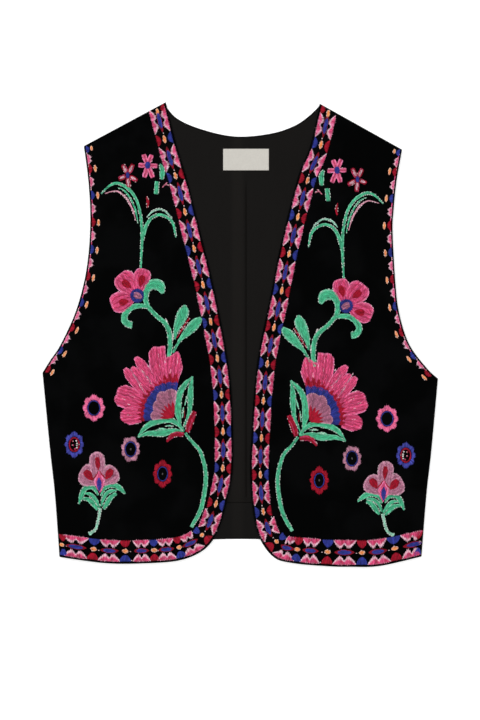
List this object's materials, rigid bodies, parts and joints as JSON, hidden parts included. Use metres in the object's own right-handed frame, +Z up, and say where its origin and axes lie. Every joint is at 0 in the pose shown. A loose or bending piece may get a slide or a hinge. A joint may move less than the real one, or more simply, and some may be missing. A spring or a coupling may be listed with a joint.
{
  "type": "vest",
  "caption": "Sleeveless black velvet folk vest with open rounded fronts and thick floral embroidery, laid flat on its back.",
  "frame": {"origin": "middle of the laid vest's bounding box, on the surface that its back lies on", "axes": "+X across the garment from the picture's left to its right, +Y from the hem to the neck, +Z up, away from the surface"},
  "size_m": [0.4758, 0.5593, 0.009],
  "materials": {
    "black_velvet": "dense short pile, matt black with a faint sheen",
    "charcoal_lining": "smooth satin weave, charcoal",
    "cream_label": "woven label, bare",
    "pink_thread": "thick stranded embroidery thread, soft sheen",
    "crimson_thread": "thick stranded embroidery thread, soft sheen",
    "mint_thread": "thick stranded embroidery thread, soft sheen",
    "mauve_thread": "thick stranded embroidery thread, soft sheen",
    "blue_thread": "thick stranded embroidery thread, soft sheen",
    "peach_thread": "thick stranded embroidery thread, soft sheen",
    "pale_thread": "thick stranded embroidery thread, soft sheen"
  },
  "bodies": {
    "root": {"back": "black_velvet", "back_lining": "charcoal_lining", "back_hem_facing": "charcoal_lining", "label": "cream_label", "front_left": "black_velvet", "border_left": "pink_thread", "armhole_border_left": "pink_thread", "rosette_stem_left": "mint_thread", "bloom_stem_left": "mint_thread", "bloom_heart_left": "crimson_thread", "bloom_petals_left": "pink_thread", "rosette_left": "pink_thread", "grass_left": "mint_thread", "star_a_left": "pink_thread", "star_b_left": "pink_thread", "small_leaf_a_left": "mint_thread", "small_leaf_b_left": "mint_thread", "tulip_stem_left": "mint_thread", "tulip_left": "mauve_thread", "ring_pink_left": "pink_thread", "ring_blue_left": "blue_thread", "ring_mauve_left": "mauve_thread", "ring_red_left": "crimson_thread", "front_right": "black_velvet", "border_right": "pink_thread", "armhole_border_right": "pink_thread", "rosette_stem_right": "mint_thread", "bloom_stem_right": "mint_thread", "bloom_heart_right": "crimson_thread", "bloom_petals_right": "pink_thread", "rosette_right": "pink_thread", "grass_right": "mint_thread", "star_a_right": "pink_thread", "star_b_right": "pink_thread", "small_leaf_a_right": "mint_thread", "small_leaf_b_right": "mint_thread", "tulip_stem_right": "mint_thread", "tulip_right": "mauve_thread", "ring_pink_right": "pink_thread", "ring_blue_right": "blue_thread", "ring_mauve_right": "mauve_thread", "ring_red_right": "crimson_thread"}
  },
  "joints": []
}
